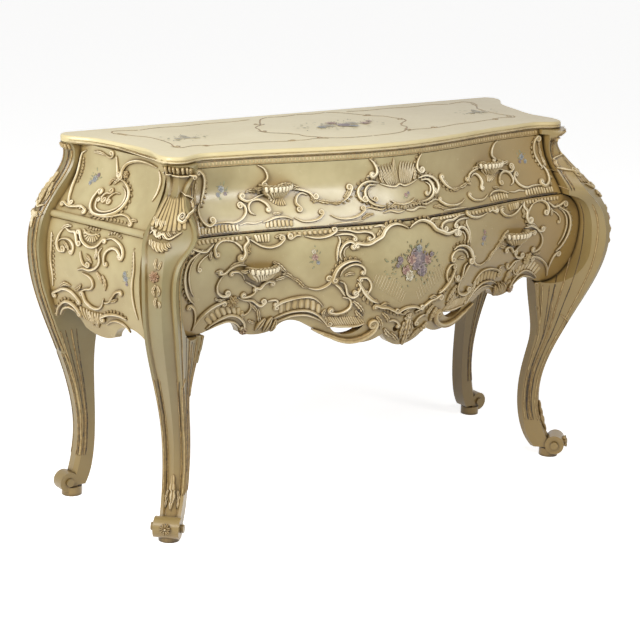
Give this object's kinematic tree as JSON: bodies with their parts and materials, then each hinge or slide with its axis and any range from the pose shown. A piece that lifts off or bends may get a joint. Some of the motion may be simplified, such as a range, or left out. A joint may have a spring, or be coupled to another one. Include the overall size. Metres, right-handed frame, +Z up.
{
  "type": "bombe chest of drawers",
  "caption": "Painted bombe chest with a serpentine front, swelling drawers, splayed cabriole legs and carved rococo scrollwork; the drawers slide out forward.",
  "frame": {"origin": "middle of the object's box, on the floor", "axes": "+Z up, +X along the width to the right as seen from the front, the front faces -Y"},
  "size_m": [1.5156, 0.5207, 0.9],
  "materials": {
    "painted_panel": "cream antique paint, satin",
    "painted_leg": "cream antique paint with worn gilt edges, satin",
    "carved_trim": "carved and painted cream with a brown glaze in the hollows",
    "gilt_line": "rubbed gold-brown paint",
    "painted_flower": "flower painting under a satin varnish",
    "bare_wood": "plain planed timber",
    "screw_steel": "dull steel"
  },
  "bodies": {
    "carcase": {"back_panel": "bare_wood", "drawer_divider_rail": "bare_wood", "dust_board": "bare_wood", "front_left_leg": "painted_leg", "front_right_leg": "painted_leg", "left_kicker": "bare_wood", "left_lower_guide": "bare_wood", "left_lower_runner": "bare_wood", "left_lower_side_panel": "painted_panel", "left_upper_guide": "bare_wood", "left_upper_runner": "bare_wood", "left_upper_side_panel": "painted_panel", "left_waist_moulding": "carved_trim", "lower_front_rail": "bare_wood", "rear_bottom_rail": "bare_wood", "rear_left_leg": "painted_leg", "rear_middle_rail": "bare_wood", "rear_right_leg": "painted_leg", "rear_top_rail": "bare_wood", "right_kicker": "bare_wood", "right_lower_guide": "bare_wood", "right_lower_runner": "bare_wood", "right_lower_side_panel": "painted_panel", "right_upper_guide": "bare_wood", "right_upper_runner": "bare_wood", "right_upper_side_panel": "painted_panel", "right_waist_moulding": "carved_trim", "top_board": "painted_panel", "top_front_rail": "painted_panel"},
    "upper_drawer": {"upper_drawer_back": "bare_wood", "upper_drawer_bottom": "bare_wood", "upper_drawer_front": "painted_panel", "upper_drawer_left_pull": "carved_trim", "upper_drawer_left_side": "bare_wood", "upper_drawer_pull_screws": "screw_steel", "upper_drawer_right_pull": "carved_trim", "upper_drawer_right_side": "bare_wood"},
    "lower_drawer": {"lower_drawer_back": "bare_wood", "lower_drawer_bottom": "bare_wood", "lower_drawer_front": "painted_panel", "lower_drawer_left_pull": "carved_trim", "lower_drawer_left_side": "bare_wood", "lower_drawer_pull_screws": "screw_steel", "lower_drawer_right_pull": "carved_trim", "lower_drawer_right_side": "bare_wood"}
  },
  "joints": [
    {"name": "upper_drawer_slide", "type": "slide", "parent": "carcase", "child": "upper_drawer", "axis": [0, -1, 0], "range_m": [0, 0.25]},
    {"name": "lower_drawer_slide", "type": "slide", "parent": "carcase", "child": "lower_drawer", "axis": [0, -1, 0], "range_m": [0, 0.28]}
  ]
}
